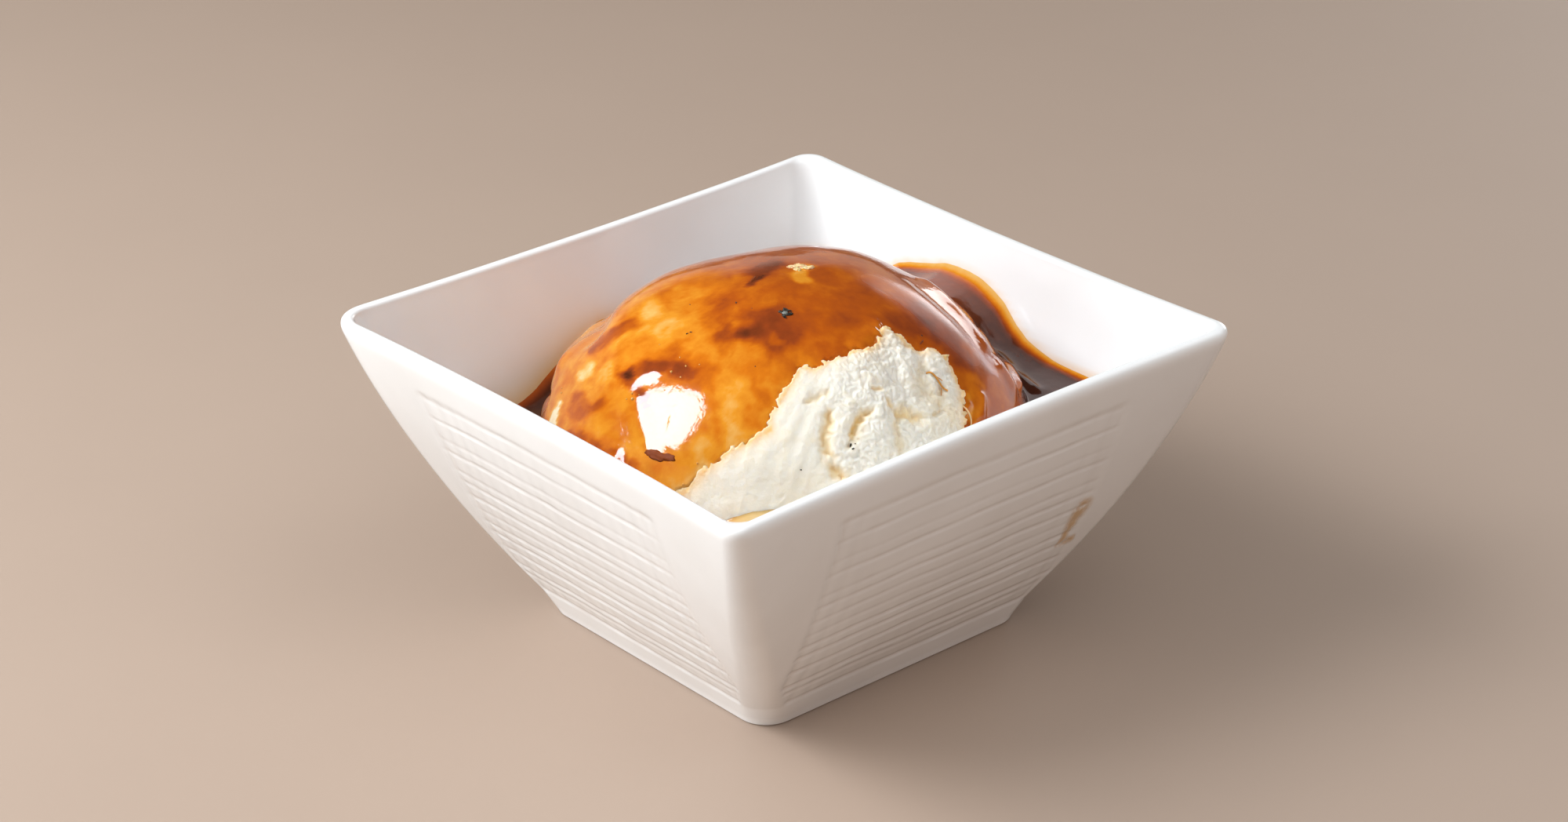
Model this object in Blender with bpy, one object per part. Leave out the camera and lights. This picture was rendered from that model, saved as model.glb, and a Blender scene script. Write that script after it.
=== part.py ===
"""Mashed potato side: a mound of mashed potato under brown gravy in a flared square porcelain bowl.

Metres, +Z up. The origin is the centre of the foot, on the table. Each side of the bowl faces X or Y.
"""
import math

import bmesh
import bpy
import numpy as np

PART = "mashed_potato_side"

# Bowl, outside
RIM_WIDTH = 0.120
BOWL_HEIGHT = 0.0622
FOOT_WIDTH = 0.0666
FOOT_TOP_WIDTH = 0.0711
FOOT_HEIGHT = 0.0055
WALL_BULGE = 0.0025
LIP_RADIUS = 0.0015
RIM_CORNER = 0.0055
FOOT_CORNER = 0.0062
CORNER_PULL = 0.027

# Bowl, inside and underneath
WALL_THICKNESS_TOP = 2 * LIP_RADIUS
WALL_THICKNESS_LOW = 0.0042
FLOOR_HEIGHT = 0.0062
FLOOR_FILLET = 0.0090
FOOT_RING_WIDTH = 0.0040
FOOT_RECESS = 0.0015
FOOT_EDGE = 0.0007

# Mound of potato, measured over its coat of gravy
MOUND_CENTRE = (0.0012, 0.0001)
MOUND_RADIUS = 0.0473
MOUND_WAIST = 0.0310
MOUND_TOP = 0.0722
MOUND_PLAN_POWER = 2.08
MOUND_SIDE_POWER = 2.12
COAT = 0.0016

# Gravy: the height of its edge on the bowl's wall, by direction in degrees from +X
POOL_FLOOR = 0.0162
POOL_EDGE = [
    (0, 0.0425), (45, 0.0438), (67, 0.0451), (75, 0.0464), (80, 0.0484), (84, 0.0512), (90, 0.0530), (96, 0.0541),
    (103, 0.0537), (112, 0.0511), (118, 0.0485), (126, 0.0465), (140, 0.0450), (178, 0.0460), (193, 0.0425),
    (208, 0.0375), (225, 0.0360), (250, 0.0385), (285, 0.0420), (302, 0.0426), (308, 0.0450), (313, 0.0466),
    (319, 0.0469), (324, 0.0462), (329, 0.0440), (336, 0.0427),
]
LEDGE_DIP = 0.0012
WALL_FILM = 0.0007

# Bare patch: how far from the mound's axis the gravy stops, by direction in degrees from +X
BARE_EDGE = [
    (-68, 0.0470), (-60, 0.0420), (-50, 0.0388), (-42, 0.0340), (-36, 0.0290), (-20, 0.0270), (0, 0.0245),
    (10, 0.0245), (17, 0.0290), (22, 0.0350), (24, 0.0470),
]
BARE_BOTTOM = 0.0448
BARE_SHOULDER = 0.0030

# Fits and mesh
GAP = 0.0003
CORNER_STEPS = 4
SIDE_STEPS = 8
TURN_STEPS = 60


def smooth_step(value):
    """Ease from 0 to 1."""
    value = min(max(value, 0.0), 1.0)
    return value * value * (3 - 2 * value)


def wall_half_width(z):
    """Half the width of the bowl's outside at the middle of a side, above the foot."""
    share = (z - FOOT_HEIGHT) / (BOWL_HEIGHT - LIP_RADIUS - FOOT_HEIGHT)
    straight = FOOT_TOP_WIDTH + (RIM_WIDTH - FOOT_TOP_WIDTH) * share
    return straight / 2 + WALL_BULGE * 4 * share * (1 - share)


def cavity_half_width(z, clearance=0.0):
    """Half the width of the bowl's inside at the middle of a side, less a clearance, with its fillet below."""
    share = (z - FLOOR_HEIGHT) / (BOWL_HEIGHT - LIP_RADIUS - FLOOR_HEIGHT)
    thickness = WALL_THICKNESS_LOW + (WALL_THICKNESS_TOP - WALL_THICKNESS_LOW) * share
    below = max(0.0, FLOOR_HEIGHT + FLOOR_FILLET - z)
    fillet = FLOOR_FILLET - math.sqrt(max(0.0, (FLOOR_FILLET - clearance) ** 2 - below ** 2))
    return wall_half_width(z) - thickness - fillet


def cavity_corner(z):
    """Corner radius of the bowl's inside."""
    share = (z - FLOOR_HEIGHT) / (BOWL_HEIGHT - FLOOR_HEIGHT)
    return 0.0090 + (RIM_CORNER - LIP_RADIUS - 0.0090) * share


def square_ring(half, corner, z):
    """A rounded square at height z. Its corners reach out a little, more so towards the rim."""
    points = []
    for quarter in range(4):
        turn = quarter * math.pi / 2
        cos_turn, sin_turn = math.cos(turn), math.sin(turn)
        outline = []
        for step in range(CORNER_STEPS + 1):
            angle = step * math.pi / 2 / CORNER_STEPS
            outline.append((half - corner + corner * math.cos(angle), half - corner + corner * math.sin(angle)))
        for step in range(1, SIDE_STEPS):
            outline.append(((half - corner) * (1 - 2 * step / SIDE_STEPS), half))
        points += [(x * cos_turn - y * sin_turn, x * sin_turn + y * cos_turn) for x, y in outline]
    pull = CORNER_PULL * z / BOWL_HEIGHT / half ** 2
    return [(x * (1 + pull * y * y), y * (1 + pull * x * x), z) for x, y in points]


def cavity_reach(angle, z, clearance=GAP):
    """Distance from the axis to the bowl's inner wall, less a clearance, in one direction."""
    ring = np.array(square_ring(cavity_half_width(z, clearance), cavity_corner(z), z))[:, :2]
    after = np.roll(ring, -1, axis=0)
    along = np.array((math.cos(angle), math.sin(angle)))
    across = np.array((-along[1], along[0]))
    side, side_after = ring @ across, after @ across
    crossing = (side <= 0) & (side_after > 0)
    share = side[crossing] / (side[crossing] - side_after[crossing])
    reach = (ring[crossing] * (1 - share)[:, None] + after[crossing] * share[:, None]) @ along
    return float(reach.max())


def by_direction(table, degrees):
    """Read a height or a distance from a table by direction, eased between its entries and closed round."""
    entries = table + [(table[0][0] + 360, table[0][1])]
    degrees = (degrees - entries[0][0]) % 360 + entries[0][0]
    for (start, low), (end, high) in zip(entries[:-1], entries[1:]):
        if degrees <= end:
            return low + (high - low) * smooth_step((degrees - start) / (end - start))
    return entries[-1][1]


def mound_point(angle, rise, outset=0.0):
    """A point of the mound: rise runs from 0 at its widest level to 1 at its top."""
    tilt = rise * math.pi / 2
    radius = (MOUND_RADIUS + outset) * math.cos(tilt) ** (2 / MOUND_SIDE_POWER)
    height = (MOUND_TOP + outset - MOUND_WAIST) * math.sin(tilt) ** (2 / MOUND_SIDE_POWER)
    cos_power = abs(math.cos(angle)) ** MOUND_PLAN_POWER
    sin_power = abs(math.sin(angle)) ** MOUND_PLAN_POWER
    radius /= (cos_power + sin_power) ** (1 / MOUND_PLAN_POWER)
    return radius, MOUND_WAIST + height


def rise_at(z):
    """The mound's rise at height z."""
    share = (z - MOUND_WAIST) / (MOUND_TOP - MOUND_WAIST)
    return math.asin(min(share, 1.0) ** (MOUND_SIDE_POWER / 2)) / (math.pi / 2)


def bare_share(angle, radius):
    """0 under the gravy and 1 on the bare patch, with a soft shoulder inside the patch's edge."""
    degrees = (math.degrees(angle) + 180) % 360 - 180
    first, last = BARE_EDGE[0][0], BARE_EDGE[-1][0]
    if not first < degrees < last:
        return 0.0
    inside = radius - by_direction(BARE_EDGE, degrees)
    side = math.radians(min(degrees - first, last - degrees)) * radius
    return smooth_step(min(inside, side) / BARE_SHOULDER - 0.2)


def lump(angle, radius, z):
    """Uneven heaping of the potato: a few broad swells and smaller crumbs."""
    x, y = radius * math.cos(angle), radius * math.sin(angle)
    broad = math.sin(x * 130 + 1.0) * math.sin(y * 117 + z * 90 + 0.4)
    small = math.sin(x * 410 + y * 150) * math.sin(y * 380 - z * 210 + 2.0)
    return 0.0005 * broad, 0.0006 * small


def to_xyz(angle, radius, z):
    """From a distance off the mound's axis to coordinates."""
    return MOUND_CENTRE[0] + radius * math.cos(angle), MOUND_CENTRE[1] + radius * math.sin(angle), z


def held_in_bowl(point, clearance):
    """Bring a point back from the bowl's inner wall if it lies outside it."""
    x, y, z = point
    angle = math.atan2(y, x)
    limit = cavity_reach(angle, min(z, BOWL_HEIGHT - LIP_RADIUS), clearance) / max(math.hypot(x, y), 1e-9)
    return (x * limit, y * limit, z) if limit < 1 else point


def loft(name, rings, material, collection, apex=None):
    """A closed body through rings of equally many points, capped flat, or brought to a top point.

    Every four-sided panel is split the same way, so that a body and its grown copy keep an even gap.
    """
    mesh_data = bmesh.new()
    loops = [[mesh_data.verts.new(point) for point in ring] for ring in rings]
    for lower, upper in zip(loops[:-1], loops[1:]):
        for index in range(len(lower)):
            after = (index + 1) % len(lower)
            mesh_data.faces.new((lower[index], lower[after], upper[after]))
            mesh_data.faces.new((lower[index], upper[after], upper[index]))
    mesh_data.faces.new(list(reversed(loops[0])))
    if apex is None:
        mesh_data.faces.new(loops[-1])
    else:
        top = mesh_data.verts.new(apex)
        for index in range(len(loops[-1])):
            mesh_data.faces.new((loops[-1][index], loops[-1][(index + 1) % len(loops[-1])], top))
    bmesh.ops.recalc_face_normals(mesh_data, faces=mesh_data.faces)
    mesh = bpy.data.meshes.new(name)
    mesh_data.to_mesh(mesh)
    mesh_data.free()
    mesh.shade_smooth()
    mesh.set_sharp_from_angle(angle=math.radians(40))
    piece = bpy.data.objects.new(name, mesh)
    if material:
        mesh.materials.append(material)
    collection.objects.link(piece)
    return piece


def make_material(name, colour, roughness):
    """A Principled material."""
    material = bpy.data.materials.new(name)
    material.use_nodes = True
    shader = material.node_tree.nodes["Principled BSDF"]
    shader.inputs["Base Color"].default_value = (*colour, 1.0)
    shader.inputs["Roughness"].default_value = roughness
    shader.inputs["Metallic"].default_value = 0.0
    material.diffuse_color = (*colour, 1.0)
    return material


def make_bowl(collection):
    """The porcelain bowl: foot with a shallow recess, flared wall, half-round lip and smooth inside."""
    porcelain = make_material("porcelain", (0.86, 0.86, 0.85), 0.12)
    foot = FOOT_WIDTH / 2
    rings = [
        square_ring(foot - FOOT_RING_WIDTH - FOOT_RECESS, FOOT_CORNER / 2, FOOT_RECESS),
        square_ring(foot - FOOT_RING_WIDTH, FOOT_CORNER / 2, 0.0),
        square_ring(foot - FOOT_EDGE, FOOT_CORNER - FOOT_EDGE, 0.0),
        square_ring(foot, FOOT_CORNER, FOOT_EDGE),
    ]
    lip_height = BOWL_HEIGHT - LIP_RADIUS
    wall_steps = 8
    for step in range(wall_steps):
        z = FOOT_HEIGHT + (lip_height - FOOT_HEIGHT) * step / wall_steps
        corner = FOOT_CORNER + (RIM_CORNER - FOOT_CORNER) * step / wall_steps
        rings.append(square_ring(wall_half_width(z), corner, z))
    lip_steps = 4
    for step in range(lip_steps + 1):
        angle = math.pi * step / lip_steps
        offset = LIP_RADIUS * math.cos(angle)
        z = lip_height + LIP_RADIUS * math.sin(angle)
        rings.append(square_ring(RIM_WIDTH / 2 - LIP_RADIUS + offset, RIM_CORNER - LIP_RADIUS + offset, z))
    for step in range(1, wall_steps):
        z = lip_height + (FLOOR_HEIGHT + FLOOR_FILLET - lip_height) * step / wall_steps
        rings.append(square_ring(cavity_half_width(z), cavity_corner(z), z))
    fillet_steps = 4
    for step in range(fillet_steps + 1):
        angle = math.pi / 2 * step / fillet_steps
        z = FLOOR_HEIGHT + FLOOR_FILLET * (1 - math.sin(angle))
        rings.append(square_ring(cavity_half_width(z), cavity_corner(z), z))
    return loft("bowl", rings, porcelain, collection)


def potato_rings(extra):
    """Rings of the potato, grown by extra all round.

    Its foot fills the bowl's floor, corners too. Above the foot a film of gravy parts it from the wall.
    """
    rings = []
    clearance = GAP - extra
    angles = [2 * math.pi * step / TURN_STEPS for step in range(TURN_STEPS)]
    ledge = POOL_FLOOR - 0.0005 + extra
    foot_steps = 4
    heights = [
        FLOOR_HEIGHT + FLOOR_FILLET - (FLOOR_FILLET - clearance) * math.cos(math.pi / 2 * step / foot_steps)
        for step in range(foot_steps + 1)
    ]
    for z in heights + [ledge]:
        ring = []
        for angle in angles:
            reach = cavity_reach(angle, z, clearance)
            ring.append((reach * math.cos(angle), reach * math.sin(angle), z))
        rings.append(ring)
    outset = extra - COAT
    clearance += GAP + WALL_FILM
    side_steps = 4
    for step in range(side_steps):
        z = max(ledge, POOL_FLOOR + (MOUND_WAIST - POOL_FLOOR) * step / side_steps - GAP * 2)
        ring = []
        for angle in angles:
            radius, _ = mound_point(angle, 0.0, outset)
            ring.append(held_in_bowl(to_xyz(angle, radius, z), clearance))
        rings.append(ring)
    dome_steps = 14
    for step in range(dome_steps):
        ring = []
        for angle in angles:
            potato_radius, potato_height = mound_point(angle, step / dome_steps, -COAT)
            bare = bare_share(angle, potato_radius)
            broad, small = lump(angle, potato_radius, potato_height)
            radius, z = mound_point(angle, step / dome_steps, outset)
            proud = broad + (COAT + small) * bare
            steepness = math.cos(math.pi / 2 * step / dome_steps)
            radius += proud * steepness
            z += proud * (1 - steepness)
            ring.append(held_in_bowl(to_xyz(angle, radius, z), clearance))
        rings.append(ring)
    return rings, (*MOUND_CENTRE, MOUND_TOP + outset)


def gravy_rings():
    """Rings of the gravy before the potato is taken out: up the wall, in across the pool, over the mound."""
    angles = [2 * math.pi * step / TURN_STEPS for step in range(TURN_STEPS)]
    rings = []
    wall_steps = 4
    for step in range(wall_steps + 1):
        ring = []
        for angle in angles:
            edge = by_direction(POOL_EDGE, math.degrees(angle))
            z = POOL_FLOOR + (edge - POOL_FLOOR) * step / wall_steps
            reach = cavity_reach(angle, z)
            ring.append((reach * math.cos(angle), reach * math.sin(angle), z))
        rings.append(ring)
    joins = []
    for angle, edge_point in zip(angles, rings[-1]):
        level = edge_point[2] - LEDGE_DIP
        radius, z = mound_point(angle, rise_at(level))
        broad, _ = lump(angle, radius, z)
        joins.append(to_xyz(angle, radius + broad, level))
    pool_steps = 3
    for step in range(1, pool_steps + 1):
        share = step / pool_steps
        ring = []
        for edge_point, join in zip(rings[wall_steps], joins):
            x = edge_point[0] + (join[0] - edge_point[0]) * share
            y = edge_point[1] + (join[1] - edge_point[1]) * share
            z = join[2] + LEDGE_DIP * (1 - share) ** 2
            ring.append((x, y, z))
        rings.append(ring)
    dome_steps = 10
    for step in range(1, dome_steps):
        ring = []
        for angle, join in zip(angles, joins):
            low = rise_at(join[2])
            rise = low + (1 - low) * step / dome_steps
            radius, z = mound_point(angle, rise)
            broad, _ = lump(angle, radius, z)
            steepness = math.cos(math.pi / 2 * rise)
            ring.append(to_xyz(angle, radius + broad * steepness, z + broad * (1 - steepness)))
        rings.append(ring)
    return rings, (*MOUND_CENTRE, MOUND_TOP)


def bare_rings():
    """Rings of an upright prism over the bare patch, from just above the pool to over the mound."""
    outer = MOUND_RADIUS + 0.006
    outline = []
    for degrees in range(BARE_EDGE[0][0], BARE_EDGE[-1][0] + 1, 4):
        angle = math.radians(degrees)
        outline.append((angle, by_direction(BARE_EDGE, degrees)))
    for degrees in range(BARE_EDGE[-1][0], BARE_EDGE[0][0] - 1, -4):
        outline.append((math.radians(degrees), outer))
    levels = (BARE_BOTTOM, MOUND_TOP + 0.005)
    return [[to_xyz(angle, radius, z) for angle, radius in outline] for z in levels]


def make_potato(collection):
    """The mashed potato: it fills the bowl's floor and rises as a mound, proud where the gravy is absent."""
    mash = make_material("mashed_potato", (0.86, 0.80, 0.62), 0.60)
    rings, apex = potato_rings(0.0)
    return loft("mashed_potato", rings, mash, collection, apex)


def make_gravy(collection, cutters):
    """The gravy: a coat over the mound and a pool round it, in one body with the potato's place cut out."""
    sauce = make_material("gravy", (0.42, 0.17, 0.03), 0.08)
    rings, apex = gravy_rings()
    gravy = loft("gravy", rings, sauce, collection, apex)
    rings, apex = potato_rings(GAP)
    potato_place = loft("potato_place", rings, None, cutters, apex)
    bare_patch = loft("bare_patch", bare_rings(), None, cutters)
    for cutter in (bare_patch, potato_place):
        cutter.display_type = "WIRE"
        cutter.hide_render = True
        cut = gravy.modifiers.new(cutter.name, "BOOLEAN")
        cut.operation = "DIFFERENCE"
        cut.solver = "EXACT"
        cut.object = cutter
    return gravy


def main():
    for thing in list(bpy.data.objects):
        bpy.data.objects.remove(thing, do_unlink=True)
    parts = bpy.data.collections.new(PART)
    cutters = bpy.data.collections.new(PART + "_cutters")
    bpy.context.scene.collection.children.link(parts)
    bpy.context.scene.collection.children.link(cutters)
    make_bowl(parts)
    make_potato(parts)
    make_gravy(parts, cutters)


main()
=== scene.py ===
"""Mashed potato side: the looks of the bowl, the potato, the gravy and what floats in it.

Metres, +Z up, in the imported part's frame. The order is the order of serving: bowl, potato, gravy, bits.
"""

import math

import bmesh
import bpy
import numpy as np
from mathutils import Matrix, Vector, noise
from mathutils.bvhtree import BVHTree


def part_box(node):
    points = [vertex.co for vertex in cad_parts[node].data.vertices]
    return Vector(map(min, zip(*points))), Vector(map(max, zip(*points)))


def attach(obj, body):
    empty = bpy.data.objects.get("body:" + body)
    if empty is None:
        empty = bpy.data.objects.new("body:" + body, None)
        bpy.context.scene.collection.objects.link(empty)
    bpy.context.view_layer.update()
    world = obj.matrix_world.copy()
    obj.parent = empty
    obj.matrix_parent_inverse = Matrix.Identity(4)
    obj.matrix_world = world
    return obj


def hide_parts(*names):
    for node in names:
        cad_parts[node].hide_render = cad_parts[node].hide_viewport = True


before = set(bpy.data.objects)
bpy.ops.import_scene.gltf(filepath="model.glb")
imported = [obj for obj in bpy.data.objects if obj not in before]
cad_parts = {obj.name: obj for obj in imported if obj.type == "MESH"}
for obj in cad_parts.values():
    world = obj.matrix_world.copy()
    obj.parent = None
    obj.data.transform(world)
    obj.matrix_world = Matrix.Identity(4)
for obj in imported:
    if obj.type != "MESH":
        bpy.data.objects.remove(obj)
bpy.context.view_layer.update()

MM = 0.001


# ----------------------------------------------------------
# Bowl. A small square side bowl of white glazed porcelain, cast in one piece. Each outer face has a
# pressed panel of thin uneven grooves, softened by the glaze. A smear of gravy has dried on one face.

BOWL_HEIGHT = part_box("bowl")[1].z
LIP_RADIUS = 1.5 * MM
LIP_LEVEL = BOWL_HEIGHT - LIP_RADIUS
LIP_OUTER_WIDTH = 2.2 * MM
LIP_OUTER_HEIGHT = 2.9 * MM
LIP_INNER = 0.8 * MM
LIP_FLATNESS = 0.78
RIM_HALF = 60.0 * MM
RIM_CORNER = 5.5 * MM
# How much rounder or tighter each rim corner came out, going round from the +X +Y corner
CORNER_EXTRA = np.array([0.0, 0.0, 3.0, -1.7]) * MM
FOOT_HALF = 33.3 * MM
FOOT_TOP_HALF = 35.55 * MM
FOOT_TOP = 5.5 * MM
FOOT_CORNER = 6.2 * MM
FOOT_EDGE = 0.7 * MM
FOOT_RING = 4.0 * MM
FOOT_RECESS = 1.5 * MM
WALL_BULGE = 2.5 * MM
CORNER_PULL = 0.027
WALL_LOW = 4.2 * MM
WALL_TOP = 2 * LIP_RADIUS
FLOOR_LEVEL = 6.2 * MM
FLOOR_FILLET = 9.0 * MM
INNER_CORNER = 9.0 * MM
INNER_RIM_CORNER = 5.5 * MM

# Panels round the bowl, and up its underside, foot, outside, lip and inside
CORNER_COLUMNS = 14
SIDE_COLUMNS = 104
BOWL_COLUMNS = 4 * (CORNER_COLUMNS + SIDE_COLUMNS)
UNDER_ROWS = 12
FOOT_FLARE = (0.35, 0.7, 0.9)
WALL_START = UNDER_ROWS + len(FOOT_FLARE)
OUTER_ROWS = 130
LIP_ROWS = 10
INNER_ROWS = 40

# Grooves: height on the face and strength, then place across the face
LEVEL_GROOVES = [
    (6.4, 0.9), (9.8, 0.7), (12.0, 1.0), (16.3, 1.0), (20.1, 0.95), (23.0, 0.85), (26.3, 0.45), (29.7, 0.65),
    (33.3, 0.65), (36.1, 0.45), (41.0, 0.65), (44.0, 0.3), (48.9, 0.55), (53.4, 0.4),
]
UPRIGHT_GROOVES = [-33, -29, -25, -21.5, -16.5, -13, -9.5, -5.5, -2, 2.5, 8, 13, 18, 22, 27, 31, 34]
PANEL_HALF = 34.5 * MM
PANEL_MARGIN = 5.5 * MM
PANEL_TOP = 55.0 * MM
GROOVE_DEPTH = 0.40 * MM
GROOVE_WIDTH = 0.40 * MM
UPRIGHT_WIDTH = 0.9 * MM
CAST_WARP = 0.12 * MM


def ease(value):
    """Smooth step from 0 to 1."""
    value = np.clip(value, 0.0, 1.0)
    return value * value * (3 - 2 * value)


def swells(points, size, seed=0.0, octaves=1):
    """Soft noise from about -1 to 1 at each point, with swells of the given width."""
    shift = Vector((7.3 * seed, -3.1 * seed, 5.7 * seed))
    values = [noise.fractal(Vector(point) / size + shift, 1.0, 2.0, octaves) for point in points]
    return 1.5 * np.array(values)


def wall_half(z):
    """Half the bowl's outer width at a height above the foot."""
    share = (z - FOOT_TOP) / (LIP_LEVEL - FOOT_TOP)
    return FOOT_TOP_HALF + (RIM_HALF - FOOT_TOP_HALF) * share + 4 * WALL_BULGE * share * (1 - share)


def cavity_half(z):
    """Half the bowl's inner width at a height, with the round turn into its floor."""
    share = (z - FLOOR_LEVEL) / (LIP_LEVEL - FLOOR_LEVEL)
    thickness = WALL_LOW + (WALL_TOP - WALL_LOW) * share
    below = np.clip(FLOOR_LEVEL + FLOOR_FILLET - z, 0, FLOOR_FILLET)
    return wall_half(z) - thickness - FLOOR_FILLET + np.sqrt(FLOOR_FILLET ** 2 - below ** 2)


def cavity_corner(z):
    """Corner radius of the bowl's inside at a height."""
    share = (z - FLOOR_LEVEL) / (BOWL_HEIGHT - FLOOR_LEVEL)
    return INNER_CORNER + (INNER_RIM_CORNER - INNER_CORNER) * share


def stand(name, data):
    """A piece, lamp or camera of a name, put in the scene."""
    item = bpy.data.objects.new(name, data)
    bpy.context.scene.collection.objects.link(item)
    return item


def skin(name, columns, rows, place):
    """A closed round piece from a grid. place(column, row) gives each point, and values to keep on it."""
    sheet = bmesh.new()
    bmesh.ops.create_grid(sheet, x_segments=columns, y_segments=rows, size=0.5)
    mesh = bpy.data.meshes.new(name)
    sheet.to_mesh(mesh)
    flat = np.zeros(len(mesh.vertices) * 3)
    mesh.vertices.foreach_get("co", flat)
    flat = flat.reshape(-1, 3)
    column = np.rint((flat[:, 0] + 0.5) * columns)
    row = np.rint((flat[:, 1] + 0.5) * rows).astype(int)
    points, values = place(column % columns, row)
    mesh.vertices.foreach_set("co", np.ascontiguousarray(points, dtype=np.float32).ravel())
    for key, numbers in values.items():
        layer = mesh.attributes.new(key, "FLOAT", "POINT")
        layer.data.foreach_set("value", np.asarray(numbers, dtype=np.float32))
    sheet.free()
    sheet = bmesh.new()
    sheet.from_mesh(mesh)
    bmesh.ops.remove_doubles(sheet, verts=sheet.verts, dist=1e-6)
    bmesh.ops.recalc_face_normals(sheet, faces=sheet.faces)
    sheet.to_mesh(mesh)
    sheet.free()
    mesh.shade_smooth()
    return stand(name, mesh)


def square_points(column, half, corner, extra, z):
    """Points on rounded squares whose corners reach out a little, and the way out from each."""
    quarter, place = np.divmod(column, BOWL_COLUMNS // 4)
    quarter = quarter.astype(int)
    sweep = np.clip(place / CORNER_COLUMNS, 0, 1) * math.pi / 2
    slide = np.clip((place - CORNER_COLUMNS) / SIDE_COLUMNS, 0, 1)
    here = corner + CORNER_EXTRA[quarter] * extra
    after = corner + CORNER_EXTRA[(quarter + 1) % 4] * extra
    x = half - here - (2 * half - here - after) * slide + here * np.cos(sweep)
    y = half - here + here * np.sin(sweep)
    pull = CORNER_PULL * z / BOWL_HEIGHT / np.maximum(half, MM) ** 2
    across, out = x, y
    x, y = x * (1 + pull * y * y), y * (1 + pull * x * x)
    turn = quarter * math.pi / 2
    points = np.stack([x * np.cos(turn) - y * np.sin(turn), x * np.sin(turn) + y * np.cos(turn), z], 1)
    outward = np.stack([np.cos(sweep + turn), np.sin(sweep + turn), np.zeros(len(z))], 1)
    return points, outward, across, out, sweep


def pressed(across, z, face):
    """How deep the pressed panel lies below the plain wall, across and up one face."""
    spots = np.stack([across, z, face], 1)
    level = z + 0.25 * MM * swells(spots, 9 * MM, 1)
    side = across + 0.5 * MM * swells(spots, 7 * MM, 2)
    upright = sum(np.exp(-((side - place * MM) / UPRIGHT_WIDTH) ** 2) for place in UPRIGHT_GROOVES)
    outer = ease((np.abs(across) - 18 * MM) / (14 * MM))
    broken = np.clip(0.8 + 0.35 * swells(spots, 5 * MM, 3), 0, 1.2)
    depth = np.zeros(len(z))
    for height, strength in LEVEL_GROOVES:
        depth += strength * np.exp(-((level - height * MM) / GROOVE_WIDTH) ** 2)
    depth = depth * broken * (1 - 0.5 * outer * upright) + 0.3 * upright * broken * (0.4 + outer)
    half = np.minimum(PANEL_HALF, wall_half(z) - PANEL_MARGIN)
    frame_edge = np.exp(-((np.abs(across) - half + 0.8 * MM) / (0.8 * MM)) ** 2) * 0.35
    inside = ease((half - np.abs(across)) / (1.6 * MM))
    inside = inside * ease((PANEL_TOP - z) / (1.2 * MM)) * ease((z - FOOT_TOP) / (0.4 * MM))
    return GROOVE_DEPTH * (depth + frame_edge + 0.25) * inside


def bowl_profile():
    """Rows from the middle of the underside, up the outside, over the lip and down to the floor.

    Each holds half the width, the corner radius, the share of the corner's own extra radius, and the height.
    """
    recess = FOOT_HALF - FOOT_RING - FOOT_RECESS
    rows = [(recess * share, FOOT_CORNER / 2 * share, 0, FOOT_RECESS) for share in np.linspace(0, 1, 5)]
    rows.append((recess + FOOT_RECESS * 0.8, FOOT_CORNER / 2, 0, 0.25 * MM))
    rows.append((FOOT_HALF - FOOT_RING, FOOT_CORNER / 2, 0, 0))
    for tilt in np.linspace(0, math.pi / 2, 5):
        inset = FOOT_EDGE * (1 - math.sin(tilt))
        rows.append((FOOT_HALF - inset, FOOT_CORNER - inset, 0, FOOT_EDGE * (1 - math.cos(tilt))))
    for share in FOOT_FLARE:
        half = FOOT_HALF + (FOOT_TOP_HALF - FOOT_HALF) * share
        rows.append((half, FOOT_CORNER, 0, FOOT_EDGE + (FOOT_TOP - FOOT_EDGE) * share))
    shoulder = BOWL_HEIGHT - LIP_OUTER_HEIGHT
    for z in np.linspace(FOOT_TOP, shoulder, OUTER_ROWS + 1)[:-1]:
        share = (z - FOOT_TOP) / (LIP_LEVEL - FOOT_TOP)
        rows.append((wall_half(z), FOOT_CORNER + (RIM_CORNER - FOOT_CORNER) * share, share, z))
    for turn in np.linspace(0, math.pi / 2, LIP_ROWS):
        z = shoulder + LIP_OUTER_HEIGHT * math.sin(turn) ** LIP_FLATNESS
        inset = LIP_OUTER_WIDTH * (1 - math.cos(turn) ** LIP_FLATNESS)
        rows.append((wall_half(z) - inset, RIM_CORNER - inset, 1, z))
    inner = BOWL_HEIGHT - LIP_INNER
    for turn in np.linspace(0, math.pi / 2, 6):
        half = cavity_half(inner) + LIP_INNER * (1 - math.sin(turn))
        share = turn / (math.pi / 2)
        corner = RIM_CORNER - LIP_OUTER_WIDTH + (INNER_RIM_CORNER - RIM_CORNER + LIP_OUTER_WIDTH) * share
        rows.append((half, corner, 1 - share, inner + LIP_INNER * math.cos(turn)))
    for z in np.linspace(inner, FLOOR_LEVEL + FLOOR_FILLET, INNER_ROWS)[1:-1]:
        rows.append((cavity_half(z), cavity_corner(z), 0, z))
    for turn in np.linspace(0, math.pi / 2, 6):
        z = FLOOR_LEVEL + FLOOR_FILLET * (1 - math.cos(math.pi / 2 - turn))
        rows.append((cavity_half(z), cavity_corner(z), 0, z))
    last = cavity_half(FLOOR_LEVEL)
    rows += [(last * share, INNER_CORNER * share, 0, FLOOR_LEVEL) for share in (0.6, 0.3, 0)]
    return np.array(rows)


BOWL_ROWS = bowl_profile()


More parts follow.
